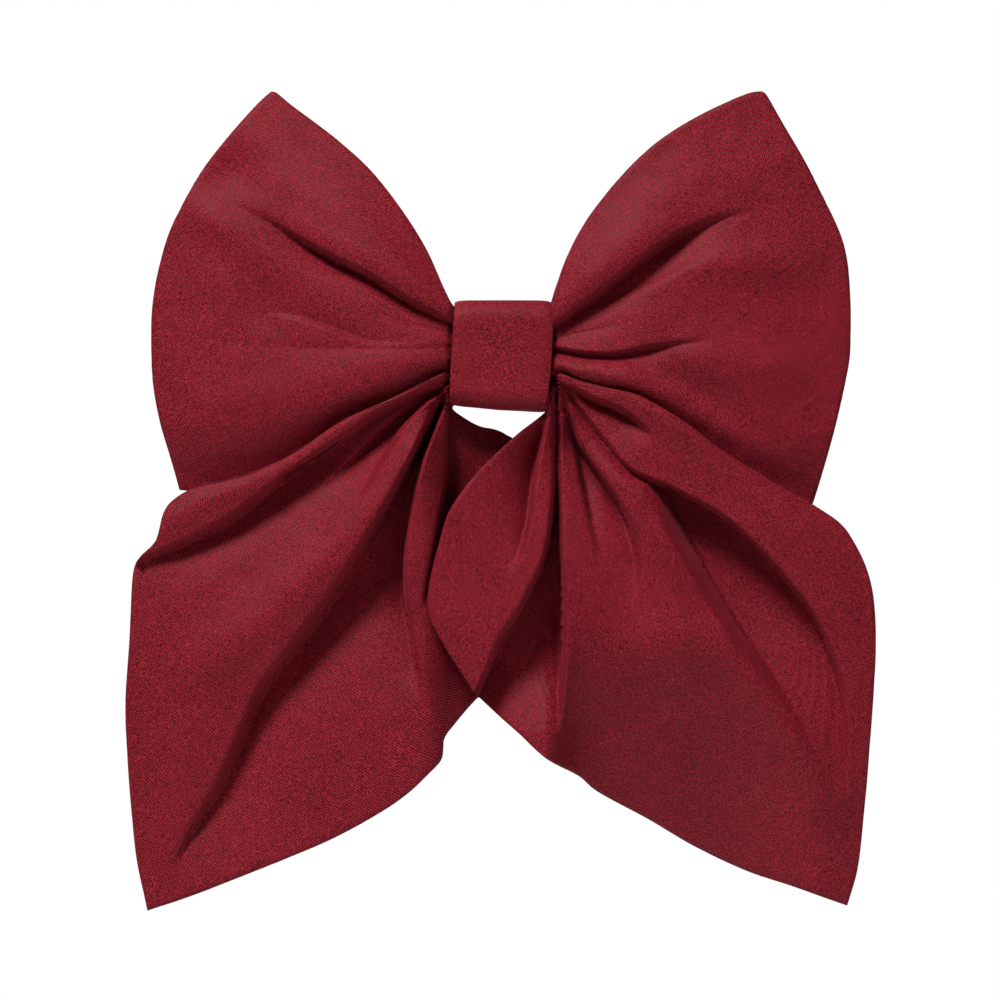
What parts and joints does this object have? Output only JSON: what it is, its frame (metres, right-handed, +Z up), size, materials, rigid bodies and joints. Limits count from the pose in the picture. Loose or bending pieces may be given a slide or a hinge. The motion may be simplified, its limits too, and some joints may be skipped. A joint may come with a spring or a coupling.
{
  "type": "hair bow",
  "caption": "Satin sailor bow with two wide wings, two pointed tails and a wrapped knot, on a French barrette that opens.",
  "frame": {"origin": "the middle of the hair grip, halfway between the spring leaf and the closed clasp arm", "axes": "upright as worn: +Z up, the bow's front faces -Y, the head is at +Y, +X to the right seen from the front"},
  "size_m": [0.1643, 0.0267, 0.1801],
  "materials": {
    "satin": "wine red satin, fine diagonal weave, soft low sheen",
    "thread": "dyed polyester sewing thread",
    "glue": "cured hot glue, cloudy",
    "clip_steel": "nickel plated stamped steel",
    "spring_steel": "tempered spring steel, slightly darker"
  },
  "bodies": {
    "bow": {"wings_front_panel": "satin", "wings_back_panel": "satin", "wings_seam_thread": "thread", "tails_front_panel": "satin", "tails_back_panel": "satin", "tails_seam_thread": "thread", "knot_band": "satin", "band_stitches": "thread", "waist_thread": "thread", "glue_pad": "glue", "barrette_plate": "clip_steel", "hinge_pin": "clip_steel"},
    "clasp_arm": {"clasp_arm": "clip_steel"},
    "spring_leaf": {"spring_leaf": "spring_steel"},
    "catch_tab_upper": {"catch_tab_upper": "spring_steel"},
    "catch_tab_lower": {"catch_tab_lower": "spring_steel"}
  },
  "joints": [
    {"name": "clasp_hinge", "type": "hinge", "parent": "bow", "child": "clasp_arm", "pos_m": [-0.038, 0.00491, 0], "axis": [0, 0, 1], "range_deg": [0, 85]},
    {"name": "leaf_flex", "type": "hinge", "parent": "bow", "child": "spring_leaf", "pos_m": [-0.0345, -0.00233, 0], "axis": [0, 0, -1], "range_deg": [0, 1.8], "stiffness_Nm_per_rad": 0.5},
    {"name": "catch_pinch_upper", "type": "hinge", "parent": "bow", "child": "catch_tab_upper", "pos_m": [0.0382, -0.0027, 0.0027], "axis": [-1, 0, 0], "range_deg": [0, 5], "stiffness_Nm_per_rad": 0.01},
    {"name": "catch_pinch_lower", "type": "hinge", "parent": "bow", "child": "catch_tab_lower", "pos_m": [0.0382, -0.0027, -0.0027], "axis": [1, 0, 0], "range_deg": [0, 5], "stiffness_Nm_per_rad": 0.01}
  ]
}
